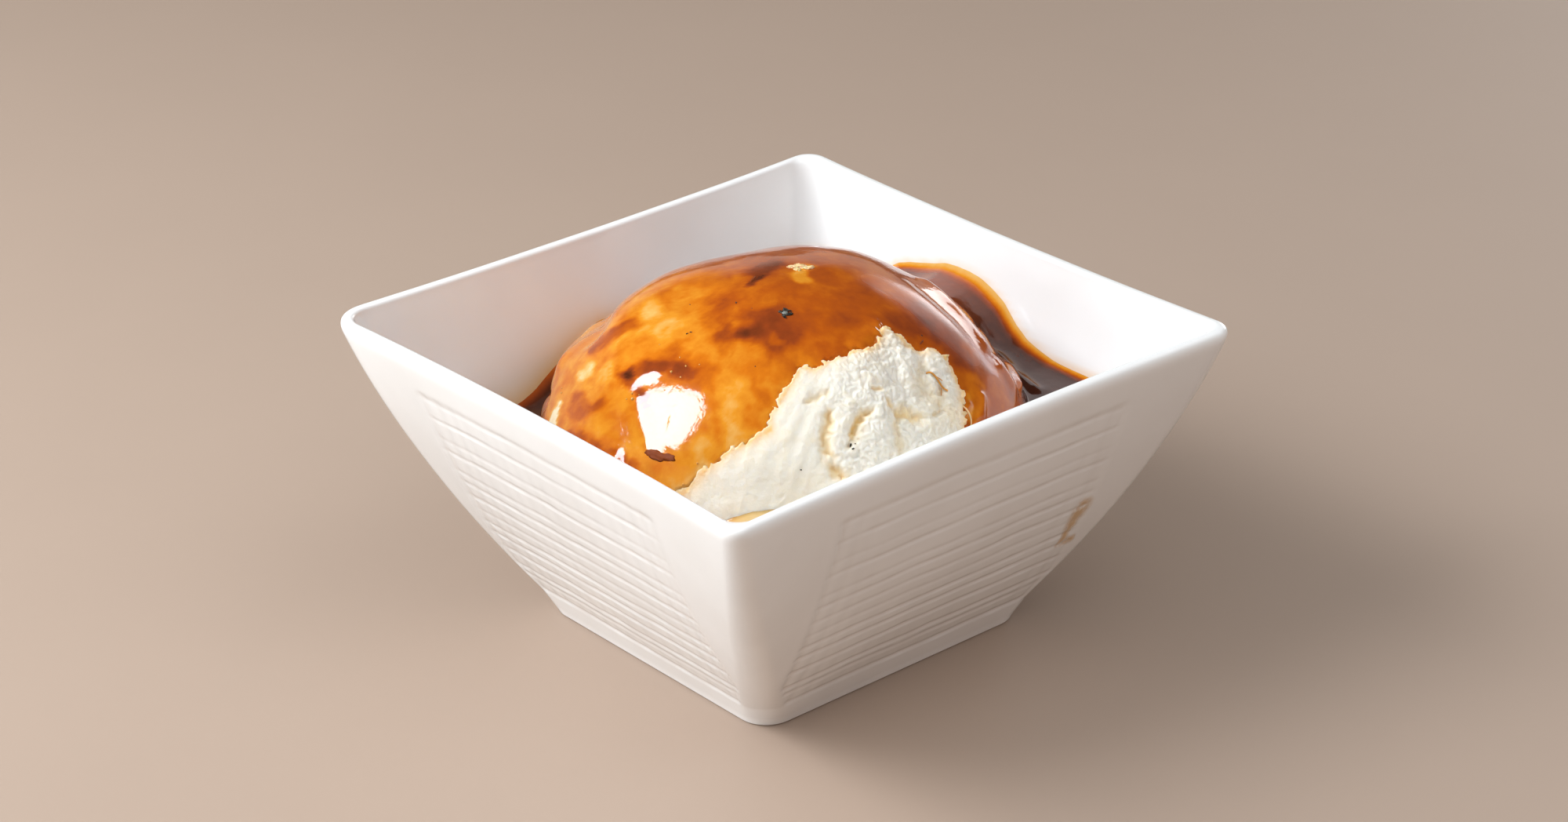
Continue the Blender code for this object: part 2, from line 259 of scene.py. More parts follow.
# Height of the gravy's edge on the inner wall by direction, in degrees from +X, in millimetres
POOL_EDGE = [
    (0, 42.5), (45, 43.8), (62, 44.7), (67, 45.1), (72, 45.8), (75.3, 46.4), (79.5, 48.2), (84.4, 51.2),
    (88.5, 52.6), (92.5, 53.7), (96.2, 54.1), (99.7, 54.0), (103, 53.6), (106, 52.6), (109.3, 51.7),
    (112.5, 51.0), (115.5, 50.1), (118.2, 48.4), (126, 46.5), (140, 45.0), (178, 46.0), (183, 46.2),
    (187, 45.0), (193, 42.8), (199, 40.4), (204, 38.0), (208, 36.7), (225, 36.0), (250, 38.5), (285, 42.0),
    (302, 42.6), (308, 45.0), (313, 46.6), (319, 46.9), (324, 46.2), (329, 44.0), (336, 42.7), (360, 42.5),
]
# Bearing and spread, in degrees from +X, of the band above the pool that is widest on the left wall: partly a
# film of gravy that the pour left highest, partly a painted reflection of the gravy in the glaze
FILM_AND_REFLECTION_BEARING = (202, 22)


def towards(angle, bearing, spread):
    """1 in a direction from the bowl's middle, falling softly to 0 beside it."""
    return np.exp(-((np.degrees(angle) % 360 - bearing) / spread) ** 2)


def pool_edge(angle):
    """Height of the gravy's edge on the wall."""
    places = [place for place, _ in POOL_EDGE]
    edge = np.interp(np.degrees(angle) % 360, places, [height for _, height in POOL_EDGE])
    ring = np.stack([np.cos(angle), np.sin(angle), np.zeros(len(angle))], 1) * 50 * MM
    return (edge + 0.3 * swells(ring, 9 * MM, 41)) * MM


def bowl_places(column, row):
    """Every point of the bowl, with its outer faces pressed, and the band above the pool: partly a film of
    gravy, partly painted reflection of the gravy.
    """
    half, corner, extra, z = BOWL_ROWS[row].T
    points, outward, across, out, sweep = square_points(column, half, corner, extra, z)
    outside = (row >= UNDER_ROWS) & (row < WALL_START + OUTER_ROWS) & (z < LIP_LEVEL)
    face = np.floor(column / (BOWL_COLUMNS // 4)) * 0.5
    depth = np.zeros(len(z))
    main = pressed(-across[outside], z[outside], face[outside])
    beside = pressed(out[outside], z[outside], face[outside] - 0.5)
    share = np.sin(sweep[outside]) ** 2
    depth[outside] = main * share + beside * (1 - share)
    warp = swells(points, 30 * MM, 4) * CAST_WARP
    points[:, :2] += outward[:, :2] * (warp * ease((z - 2 * MM) / (4 * MM)) - depth)[:, None]
    angle = np.arctan2(points[:, 1], points[:, 0])
    # The band above the pool: a thin gravy film all round, and on the left wall a wider painted reflection of
    # the gravy
    left = towards(angle, *FILM_AND_REFLECTION_BEARING)
    above = (z - pool_edge(angle)) / MM
    film = np.exp(-np.clip(above, 0, 99) / (0.5 + 4.0 * left)) * (0.45 + 0.45 * left)
    inside = row > WALL_START + OUTER_ROWS + LIP_ROWS
    # The groove depth is kept for the painted shade along the grooves
    return points, {"film": film * inside, "groove": np.clip(depth / GROOVE_DEPTH, 0, 1.5)}


bowl = skin("glazed_bowl", BOWL_COLUMNS, len(BOWL_ROWS) - 1, bowl_places)


class Value:
    """A value inside a material. Sums on values add Math nodes."""

    def __init__(self, finish, socket):
        self.finish = finish
        self.socket = socket

    def __add__(self, other):
        return self.finish.maths("ADD", self, other)

    def __sub__(self, other):
        return self.finish.maths("SUBTRACT", self, other)

    def __rsub__(self, other):
        return self.finish.maths("SUBTRACT", other, self)

    def __mul__(self, other):
        return self.finish.maths("MULTIPLY", self, other)

    def __truediv__(self, other):
        return self.finish.maths("DIVIDE", self, other)

    __radd__ = __add__
    __rmul__ = __mul__


class Finish:
    """A procedural material, with the Principled shader that it feeds."""

    def __init__(self, name, **constants):
        self.material = bpy.data.materials.new(name)
        self.material.use_nodes = True
        self.tree = self.material.node_tree
        self.shader = self.tree.nodes["Principled BSDF"]
        for socket, value in constants.items():
            self.shader.inputs[socket.replace("_", " ")].default_value = value
        self.place = Value(self, self.tree.nodes.new("ShaderNodeTexCoord").outputs["Object"])

    def feed(self, socket, value):
        """Link a value to a socket, or set a number or colour on it."""
        if isinstance(value, Value):
            self.tree.links.new(value.socket, socket)
        elif socket.type == "RGBA" and len(value) == 3:
            socket.default_value = (*value, 1.0)
        else:
            socket.default_value = value

    def node(self, kind, settings, sockets, output=0):
        """Any node: its type, its settings, and the values or links of its sockets."""
        made = self.tree.nodes.new("ShaderNode" + kind)
        for name, value in settings.items():
            setattr(made, name, value)
        for name, value in sockets.items():
            self.feed(made.inputs[name], value)
        return Value(self, made.outputs[output])

    def maths(self, operation, first, second=0.0, clamp=False):
        return self.node("Math", {"operation": operation, "use_clamp": clamp}, {0: first, 1: second})

    def clamp(self, value):
        return self.maths("ADD", value, 0.0, clamp=True)

    def step(self, value, start, end):
        """Smooth step of a value between two limits."""
        return self.node(
            "MapRange",
            {"interpolation_type": "SMOOTHSTEP"},
            {"Value": value, "From Min": start, "From Max": end, "To Min": 0.0, "To Max": 1.0},
        )

    def mix(self, share, first, second):
        """A colour between two colours."""
        return self.node("Mix", {"data_type": "RGBA"}, {0: share, 6: first, 7: second}, output=2)

    def kept(self, key):
        """A value kept on the mesh."""
        return self.node("Attribute", {"attribute_type": "GEOMETRY", "attribute_name": key}, {}, output=2)

    def noise(self, size, detail=2.0, roughness=0.5):
        """Noise from 0 to 1 with swells of a size in metres."""
        sockets = {"Vector": self.place, "Scale": 1 / size, "Detail": detail, "Roughness": roughness}
        return self.node("TexNoise", {}, sockets)

    def vector(self, operation, first, second, output=0):
        return self.node("VectorMath", {"operation": operation}, {0: first, 1: second}, output)

    def from_line(self, place, start, end):
        """Distance of a place from a straight line between two points, in metres."""
        start, end = Vector(start), Vector(end)
        along = (end - start) / (end - start).length_squared
        offset = self.vector("SUBTRACT", place, start)
        share = self.clamp(self.vector("DOT_PRODUCT", offset, along, output=1))
        nearest = self.node("VectorMath", {"operation": "SCALE"}, {0: end - start, "Scale": share})
        return self.vector("DISTANCE", offset, nearest, output=1)

    def bump(self, height, distance):
        """Fine relief of a height in metres."""
        return self.node("Bump", {}, {"Height": height, "Distance": distance, "Strength": 1.0})

    def wear(self, **sockets):
        """Feed the shader's own sockets."""
        for name, value in sockets.items():
            self.feed(self.shader.inputs[name.replace("_", " ")], value)


PORCELAIN = (0.88, 0.88, 0.875)
PORCELAIN_SHADE = (0.84, 0.835, 0.825)
# Painted shade: the darker, warmer tone laid along the pressed grooves
GROOVE_SHADE_TONE = (0.66, 0.59, 0.54)
DRIED_GRAVY = (0.58, 0.34, 0.11)
# Gold of the band above the pool: a gravy film, brightened as painted warm light and reflection where the
# mound shades the wall
GRAVY_FILM_AND_GLOW = (0.80, 0.47, 0.18)
# The smear's way across and up the +X face, and its width from each point on, in millimetres
SMEAR = [
    (33.1, 29.8, 2.4), (32.6, 28.0, 1.8), (32.2, 25.4, 1.1), (31.9, 21.8, 1.1), (31.8, 20.6, 1.2),
    (34.4, 20.7, 0.0),
]

porcelain = Finish("glazed porcelain", Roughness=0.12, IOR=1.5, Coat_Weight=0.3, Coat_Roughness=0.05)
tone = porcelain.noise(28 * MM, 3.0)
glaze = porcelain.mix(porcelain.step(tone, 0.35, 0.75), PORCELAIN, PORCELAIN_SHADE)
ragged = (porcelain.noise(1.3 * MM, 3.0) - 0.5) * (0.9 * MM)
smear = None
on_face = porcelain.vector("MULTIPLY", porcelain.place, (0, 1, 1))
out_to_face = porcelain.node("SeparateXYZ", {}, {"Vector": porcelain.place})
for (y, z, width), (next_y, next_z, _) in zip(SMEAR[:-1], SMEAR[1:]):
    edge = porcelain.from_line(on_face, (0, y * MM, z * MM), (0, next_y * MM, next_z * MM)) + ragged
    line = 1 - porcelain.step(edge, width * 0.2 * MM, width * 1.3 * MM)
    smear = line if smear is None else porcelain.maths("MAXIMUM", smear, line)
smear = smear * porcelain.step(porcelain.noise(2.2 * MM, 2.0), 0.2, 0.55)
smear = smear * porcelain.step(out_to_face, 30 * MM, 40 * MM)
# Painted shade: the glaze is darkened along the pressed grooves, where shade falls in them
groove_shade = porcelain.step(porcelain.kept("groove"), 0.35, 1.3)
glaze = porcelain.mix(groove_shade * 0.45, glaze, GROOVE_SHADE_TONE)
# Gravy film above the pool, partly painted warm reflection and light
glaze = porcelain.mix(porcelain.clamp(porcelain.kept("film")), glaze, GRAVY_FILM_AND_GLOW)
porcelain.wear(
    Base_Color=porcelain.mix(smear * 0.8, glaze, DRIED_GRAVY),
    Roughness=0.10 + porcelain.noise(6 * MM, 2.0) * 0.08 + smear * 0.2,
    Normal=porcelain.bump(porcelain.noise(9 * MM, 1.0) + smear * 0.25, 0.06 * MM),
)
bowl.data.materials.append(porcelain.material)
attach(bowl, "root")
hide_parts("bowl")


# ----------------------------------------------------------
# Potato. Creamy white mash, scooped as a round mound that fills the bowl's floor. Where the gravy
# leaves it bare it is crumbly and torn at the top, and dragged smooth by the scoop lower down.

MOUND_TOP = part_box("gravy")[1].z
MOUND_CENTRE = np.array([1.2, 0.1]) * MM
MOUND_RADIUS = 47.3 * MM
MOUND_WAIST = 31.0 * MM
MOUND_RISE = MOUND_TOP - MOUND_WAIST
PLAN_POWER = 2.08
SIDE_POWER = 2.12
COAT = 1.6 * MM
# Gap that the mash keeps to the bowl, and how far its crumbs stand out past the coat
BOWL_GAP = 0.3 * MM
CRUMB_LIFT = 0.25 * MM

# Outline of the bare patch, from above, going round it
BARE_OUTLINE = [
    (17.5, -45.0), (20.3, -40.6), (22.2, -37.6), (23.6, -35.0), (25.4, -32.0), (27.4, -28.4), (28.6, -25.6),
    (26.9, -24.2), (26.6, -21.0), (25.8, -17.9), (24.6, -15.0), (26.4, -13.2), (26.9, -8.6), (27.5, -5.2),
    (28.3, -2.8), (28.0, 0.2), (26.9, 2.4), (25.3, 4.5), (27.3, 6.3), (29.2, 6.0), (31.0, 8.2), (30.8, 11.0),
    (32.8, 13.4), (35.4, 12.6), (38.0, 11.8), (40.3, 10.2), (42.2, 8.6), (46.0, 7.5), (56.0, 7.0),
    (56.0, -56.0), (17.5, -56.0),
]
POTATO_COLUMNS = 490
POTATO_BASE_ROWS = 14
POTATO_DOME_ROWS = 188
POOL_SURFACE = 43.4 * MM

# Lumps and torn gashes of the bare patch: a path seen from above, how far it rises, width, in
# millimetres, and how yellow it is painted, partly the torn potato's own colour and partly painted warm shade
TEARS = [
    ([(36.3, -9.3), (36.9, -12.1), (37.9, -15.1)], -1.5, 0.75, 1.0),
    ([(33.3, -16.0), (34.8, -18.7), (36.7, -19.7), (38.2, -19.7), (40.1, -18.5)], -1.1, 0.9, 0.75),
    ([(29.6, -18.1), (30.7, -14.6)], -0.6, 0.8, 0.45), ([(38.1, -3.7), (39.7, -0.6)], -1.2, 1.1, 0.7),
    ([(40.2, 3.2), (39.8, 5.0)], -1.1, 0.8, 0.6),
    ([(38.6, -3.9), (39.6, -5.6), (42.1, -6.7)], -0.9, 0.9, 0.4),
    ([(34.2, -5.7), (34.6, -5.3)], -0.8, 0.6, 0.7), ([(36.2, -4.7), (36.9, -4.2)], -0.7, 0.6, 0.7),
    ([(33.4, 6.8), (37.0, 3.5)], -0.8, 1.2, 0.25), ([(37.5, 8.0), (39.0, 6.2)], -0.8, 0.9, 0.5),
    ([(37.5, 4.0), (41.0, 6.5)], -0.3, 2.6, 0.3), ([(31.4, 9.6), (34.4, 12.4)], 0.5, 1.7, 0.0),
    ([(36.5, 10.8), (37.4, 10.2)], 0.5, 1.3, 0.0), ([(31.0, 5.4), (35.2, 1.9)], 0.45, 1.5, 0.0),
    ([(25.6, 4.2), (26.6, 5.4)], 0.4, 1.0, 0.0), ([(34.2, -12.0), (34.8, -15.0)], 0.25, 1.6, 0.0),
    ([(38.2, -9.0), (38.9, -12.0)], 0.25, 1.4, 0.0),
]
# Crumbs of the mash: size in millimetres, and share of the relief
CRUMBS = [(2.4, 0.36), (1.2, 0.36), (0.65, 0.16)]


def cavity_reach(angle, z):
    """Distance from the bowl's axis to its inner wall, by direction and height."""
    half, corner = cavity_half(z), cavity_corner(z)
    flat = half - corner
    near = np.maximum(np.abs(np.cos(angle)), np.abs(np.sin(angle)))
    far = np.minimum(np.abs(np.cos(angle)), np.abs(np.sin(angle)))
    on_arc = flat * (near + far) + np.sqrt(np.maximum(0, corner ** 2 - (flat * (near - far)) ** 2))
    reach = np.where(half * far / near <= flat, half / near, on_arc)
    pull = CORNER_PULL * z / BOWL_HEIGHT / half ** 2
    return reach * (1 + 2 * pull * (reach * near * far) ** 2)


def mound(angle, rise, outset=0.0):
    """Radius and height on the mound. Rise runs from 0 at its widest level to 1 at its top."""
    tilt = rise * math.pi / 2
    plan = np.abs(np.cos(angle)) ** PLAN_POWER + np.abs(np.sin(angle)) ** PLAN_POWER
    radius = (MOUND_RADIUS + outset) * np.cos(tilt) ** (2 / SIDE_POWER) / plan ** (1 / PLAN_POWER)
    return radius, MOUND_WAIST + (MOUND_TOP + outset - MOUND_WAIST) * np.sin(tilt) ** (2 / SIDE_POWER)


def rise_at(z):
    """The mound's rise at a height."""
    share = np.clip((z - MOUND_WAIST) / MOUND_RISE, 0, 1)
    return np.arcsin(share ** (SIDE_POWER / 2)) / (math.pi / 2)


def mound_points(angle, rise):
    """Points on the mound's coat, and the way out from each."""
    radius, z = mound(angle, rise)
    x, y = MOUND_CENTRE[0] + radius * np.cos(angle), MOUND_CENTRE[1] + radius * np.sin(angle)
    points = np.stack([x, y, z], 1)
    slope = (radius / MOUND_RADIUS) ** (SIDE_POWER - 1) / MOUND_RADIUS
    climb = np.clip((z - MOUND_WAIST) / MOUND_RISE, 0, 1) ** (SIDE_POWER - 1) / MOUND_RISE
    outward = np.stack([slope * np.cos(angle), slope * np.sin(angle), climb], 1)
    return points, outward / np.linalg.norm(outward, axis=1)[:, None]


def from_stretch(points, start, end):
    """Distance of each point from a straight stretch."""
    along = end - start
    share = np.clip(((points - start) @ along) / (along @ along), 0, 1)
    return np.linalg.norm(points - start - share[:, None] * along, axis=1)


def into_outline(points, outline):
    """How far each point lies inside a closed outline seen from above, negative outside it."""
    spots = points[:, :2] / MM
    nearest = np.full(len(spots), 1e9)
    inside = np.zeros(len(spots), bool)
    for start, end in zip(outline, outline[1:] + outline[:1]):
        start, end = np.array(start), np.array(end)
        along = end - start
        nearest = np.minimum(nearest, from_stretch(spots, start, end))
        crosses = (start[1] > spots[:, 1]) != (end[1] > spots[:, 1])
        level = np.where(crosses, (spots[:, 1] - start[1]) / (along[1] if along[1] else 1.0), 0.0)
        inside ^= crosses & (spots[:, 0] < start[0] + level * along[0])
    return np.where(inside, nearest, -nearest) * MM


def ragged_bareness(points):
    """How far each point lies inside the bare patch, with the patch's torn edge."""
    inside = into_outline(points, BARE_OUTLINE)
    torn = 0.55 * MM * swells(points, 2.6 * MM, 11) + 0.5 * MM * swells(points, 1.1 * MM, 12, 2)
    return inside + torn


def mound_height(x, y):
    """Height of the mound, or of the pool round it, above places seen from above."""
    plan = np.abs(x - MOUND_CENTRE[0]) ** PLAN_POWER + np.abs(y - MOUND_CENTRE[1]) ** PLAN_POWER
    climb = np.clip(1 - (plan ** (1 / PLAN_POWER) / MOUND_RADIUS) ** SIDE_POWER, 0, 1) ** (1 / SIDE_POWER)
    return np.maximum(MOUND_WAIST + MOUND_RISE * climb, POOL_SURFACE)


def near_path(points, path, width):
    """1 on a path over the mound, falling softly to 0 beside it. The path is seen from above."""
    stops = [np.array([x * MM, y * MM, mound_height(x * MM, y * MM)]) for x, y in path]
    nearest = np.min([from_stretch(points, *ends) for ends in zip(stops[:-1], stops[1:])], 0)
    return np.exp(-(nearest / (width * MM)) ** 2)


def crowded(places, stops):
    """Even places from 0 to 1 spread so that they crowd where the stops lie close together."""
    return np.interp(places, [share for share, _ in stops], [value for _, value in stops])


def heaped(points):
    """Broad uneven swells of the whole mound."""
    return 0.5 * MM * swells(points, 18 * MM, 21) + 0.1 * MM * swells(points, 8 * MM, 22)


def terraces(values, steps):
    """Even steps with short soft risers."""
    scaled = values * steps
    whole = np.floor(scaled)
    return (whole + ease((scaled - whole - 0.3) / 0.4)) / steps


def grains(points, size):
    """Rounded grains packed side by side, from 0 between them to 1."""
    return np.array([1 - min(1.0, noise.voronoi(Vector(point) / size)[0][0] * 1.15) ** 2 for point in points])


def torn_mash(points, inside):
    """Relief of the bare mash, and how yellow each point is painted: the torn potato's own warmer colour, and
    painted warm shade in the gashes and low places.
    """
    x, y, _ = points.T / MM
    rough = ease((0.9 * x + y - 9) / 15)
    drift = np.stack([swells(points, 3.2 * MM, seed, 3) for seed in (31, 32, 33)], 1)
    bent = points + drift * 0.65 * MM
    lumps = swells(bent, 5.5 * MM, 34)
    flakes = terraces(0.5 * swells(bent, 3.6 * MM, 35, 2), 2.5)
    crests = 0.35 - np.abs(swells(bent, 0.9 * MM, 39))
    crumbs = sum(share * grains(bent, size * MM) for size, share in CRUMBS) + 0.2 * crests
    relief = (0.25 + 0.15 * rough) * lumps + 0.20 * rough * flakes + (0.18 + 0.80 * rough) * crumbs
    dragged = np.stack([x + 0.3 * y, 0.16 * y - 0.05 * x, 0 * x], 1) * MM
    relief += (1 - rough) * 0.16 * swells(dragged, 2.6 * MM, 37, 2)
    yellow_and_shade = np.zeros(len(x))
    for path, rise, width, colour in TEARS:
        near = near_path(points + drift * 0.7 * MM, path, width)
        relief += rise * near
        yellow_and_shade = np.maximum(yellow_and_shade, colour * near)
    # Painted warm shade: low places of the relief are tinted yellow where shade falls in them
    yellow_and_shade = np.maximum(yellow_and_shade, 0.36 * (0.25 + rough) * ease((0.05 - relief) / 0.9))
    return (relief - 0.18 + 0.28 * ease(inside / (2.5 * MM))) * MM, np.clip(yellow_and_shade, 0, 1)


def potato_places(column, row):
    """Every point of the potato: floor, sides against the bowl, and the mound."""
    turn = column / POTATO_COLUMNS
    angle = np.radians(crowded(turn, [(0, -180), (0.08, -82), (0.90, 33), (1, 180)]))
    points = np.zeros((len(row), 3))
    hollow_tint_and_shade = np.zeros(len(row))
    base = row < POTATO_BASE_ROWS
    steps = row[base] / POTATO_BASE_ROWS
    z = crowded(steps, [(0, 6.5), (0.18, 6.5), (0.45, 15.4), (0.55, 15.7), (1, MOUND_WAIST / MM)]) * MM
    share = crowded(steps, [(0, 0), (0.18, 1), (1, 1)])
    reach = cavity_reach(angle[base], np.maximum(z, 7 * MM)) - BOWL_GAP
    side, _ = mound(angle[base], 0.0, -COAT)
    radius = np.where(steps <= 0.55, reach, np.minimum(side, reach - 0.6 * MM)) * share
    points[base] = np.stack([radius * np.cos(angle[base]), radius * np.sin(angle[base]), z], 1)
    dome = ~base
    climb = (row[dome] - POTATO_BASE_ROWS) / POTATO_DOME_ROWS
    rise = crowded(climb, [(0, 0), (0.05, 0.17), (0.94, 0.70), (1, 1)])
    skin_points, outward = mound_points(angle[dome], rise)
    bare = ease((ragged_bareness(skin_points) + 0.95 * MM) / (0.6 * MM))
    inside = into_outline(skin_points, BARE_OUTLINE)
    relief, crease_tint_and_shade = torn_mash(skin_points, inside)
    outset = heaped(skin_points) - COAT + (COAT + CRUMB_LIFT + relief) * bare
    held = skin_points + outward * outset[:, None]
    reach = cavity_reach(np.arctan2(held[:, 1], held[:, 0]), held[:, 2]) - 0.5 * MM
    squeeze = np.minimum(1, reach / np.maximum(np.hypot(held[:, 0], held[:, 1]), 1e-6))
    held[:, :2] *= squeeze[:, None]
    top = rise >= 0.999999
    held[top] = held[top].mean(0)
    points[dome] = held
    hollow_tint_and_shade[dome] = crease_tint_and_shade * bare
    stain = np.zeros(len(row))
    stain[dome] = np.exp(-np.clip(inside / (0.7 * MM), 0, 30)) * bare
    return points, {"hollow_tint_and_shade": hollow_tint_and_shade, "stain": stain}


potato = skin("mashed_potato_mound", POTATO_COLUMNS, POTATO_BASE_ROWS + POTATO_DOME_ROWS, potato_places)

MASH = (0.765, 0.732, 0.655)
MASH_WARM = (0.775, 0.71, 0.58)
# Yellow of the gashes and hollows: partly the potato's own colour, partly painted warm shade
MASH_CREASE_TINT_AND_SHADE = (0.84, 0.61, 0.27)
MASH_STAIN = (0.82, 0.45, 0.10)

mash = Finish("mashed potato", Specular_IOR_Level=0.12, Subsurface_Weight=0.8, Subsurface_Scale=1.3 * MM)
mash.shader.inputs["Subsurface Radius"].default_value = (1.0, 0.88, 0.7)
warmth = mash.step(mash.noise(5 * MM, 3.0), 0.42, 0.75)
mash_colour = mash.mix(warmth * 0.6, MASH, MASH_WARM)
# Gashes and low places painted yellow, partly as warm shade
mash_colour = mash.mix(mash.clamp(mash.kept("hollow_tint_and_shade")), mash_colour, MASH_CREASE_TINT_AND_SHADE)
stained = mash.clamp(mash.kept("stain") * (0.3 + mash.noise(1.6 * MM, 2.0)))
mash.wear(
    Base_Color=mash.mix(stained * 0.8, mash_colour, MASH_STAIN),
    Roughness=0.5 + mash.noise(1.5 * MM, 2.0) * 0.3,
    Normal=mash.bump(mash.noise(0.7 * MM, 4.0, 0.65), 0.13 * MM),
)
potato.data.materials.append(mash.material)
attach(potato, "root")
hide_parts("mashed_potato")


# ----------------------------------------------------------
# Gravy. Brown gravy ladled over the mound: a glossy coat, thin and golden where the potato shows
# through, thicker and browner on the far side, and a pool round it that climbs the bowl's wall.

LEDGE_DIP = 1.2 * MM
POOL_DEPTH = 2.5 * MM
# How far the coat sinks into the bare mash, and how far it has to sink to be cut away
SUNK = 2.6 * MM
CUT_AWAY = 2.3 * MM
# Bearing and spread, in degrees, of the front corner, where only a thin yellow juice stands, of the pool's
# paler ledge and wider edge at the back, and of the left wall, where the pool's edge is painted darker as
# shade between the mound and the wall
FRONT_BEARING = (318, 13)
LEDGE_BEARING = (101, 15)
BACK_BEARING = (92, 15)
LEFT_SHADE_BEARING = (205, 18)
GRAVY_COLUMNS = 452
POOL_ROWS = 18
DOME_ROWS = 88

# Folds and dents of the surface: a path seen from above, how far it rises, width, in millimetres
FOLDS = [
    ([(-23, -25.5), (-28, -21), (-33, -14)], -1.5, 3.8), ([(-29, -28.5), (-33.5, -23), (-36, -17)], 1.0, 3.0),
    ([(-28, -34), (-34, -28.5), (-38, -22)], -1.0, 1.8),
    ([(4.9, -42.8), (7.3, -43.6), (10.0, -44.2)], 0.6, 1.2),
    ([(-0.4, -35.3), (0.2, -33.1), (2.3, -31.4)], 0.38, 1.8),
    ([(3.0, -36.2), (5.6, -37.6), (9.2, -39.2), (11.8, -40.8)], 0.34, 2.1),
    ([(2, 47), (9, 45.5), (17, 42.5), (24, 38), (30.5, 33)], 1.3, 1.7),
    ([(8, 40), (15, 37.5), (23, 33), (29.5, 28)], -0.6, 1.3), ([(9, 49), (20, 43.2), (27, 41.5)], 0.9, 1.0),
    ([(10, 25.4), (17, 24.6), (24, 24.6), (28.5, 24.8), (31.5, 25.6)], -0.22, 1.9),
    ([(8, 31.0), (16.5, 29.8), (24, 29.2), (29, 29.0), (32.6, 29.6)], 0.72, 2.1),
    ([(38.2, 17), (40.6, 14.8)], 0.6, 1.1), ([(39.4, 12.8), (40.6, 9.9)], 0.5, 0.7),
    ([(23.4, 4.6), (25.6, 2.6)], 0.35, 0.9), ([(25.2, 2.0), (26.4, -2.5)], 0.4, 1.6),
]
# Thicker (positive) and thinner (negative) gravy: a path seen from above, width in millimetres, amount
STROKES = [
    ([(-3.6, 0.4), (-1.8, -2.0)], 3.2, 0.24), ([(-0.8, -3.5), (1.2, -6.2)], 1.1, 0.30),
    ([(2.6, 5.0), (4.4, 3.0), (5.4, 1.2)], 2.2, -0.26), ([(12, -12.8), (16.5, -12.8)], 4.6, 0.17),
    ([(9.0, -19.5), (12.5, -17.5)], 2.6, 0.20), ([(16.2, -14.6), (17.4, -14.2)], 1.2, -0.14),
    ([(11.6, -17.8), (12.6, -17.6)], 1.3, 0.14), ([(-12.5, -20.5), (-9.5, -21.5)], 2.3, -0.14),
    ([(-3.5, -23.5), (-0.3, -26)], 2.3, -0.13), ([(-1.5, -13.5), (2, -15)], 2.4, 0.10),
    ([(-7.5, -15), (-6, -15.2)], 2.2, -0.07),
    ([(-2.9, -33.6), (0.5, -31.2), (4, -29.6), (9.5, -28.8)], 2.0, 0.20),
    ([(2, -29.0), (12, -29.0)], 4.0, 0.12), ([(-2.5, -33.5), (2, -34.8), (5.5, -36.2)], 1.3, 0.30),
    ([(-16, -34.8), (-14.6, -33.4)], 1.9, -0.26), ([(-10, -34.5), (-8, -34.4)], 2.2, -0.12),
    ([(-13.5, -38.6), (-9.5, -39.2), (-5.5, -38.8)], 2.0, 0.20),
    ([(-17.2, -29.2), (-12.0, -25.2)], 2.3, 0.22), ([(-10, -42), (0, -43), (9, -42.6)], 1.6, 0.20),
    ([(3.0, -18.0), (7.0, -17.0)], 2.4, 0.06),
    ([(19.2, -25.8), (20.4, -26.2)], 3.0, -0.08), ([(22.5, -14), (24.5, -20)], 2.2, -0.05),
    ([(13, 12), (18, 9)], 3.4, 0.05), ([(24, 9), (26.5, 14)], 3.0, 0.12), ([(22, 18), (32, 17)], 4.0, 0.12),
    ([(22, -28), (26, -31)], 2.4, -0.09), ([(24.5, 3), (26, -3)], 2.2, -0.07),
    ([(-20.2, -41.0), (-19.2, -38.8)], 2.0, -0.9), ([(36, 17.5), (41, 13)], 1.8, -0.10),
    ([(38.5, 13.8), (41.5, 10.8)], 1.0, -0.12),
]

# Where the gravy has a duller skin, seen from above, and its width in millimetres
DULL_SKIN = [(12.0, 14.5), (19.0, 16.5), (26.0, 17.5), (31.0, 20.5)]
DULL_WIDTH = 4.2


def folded(points):
    """How the gravy's surface folds and dents."""
    return sum(rise * MM * near_path(points, path, width) for path, rise, width in FOLDS)


def draped(points):
    """How the gravy's surface swells and folds on its way down the mound."""
    swelling = 0.35 * MM * swells(points, 16 * MM, 42) + 0.05 * MM * swells(points, 6.5 * MM, 43)
    return swelling + folded(points)


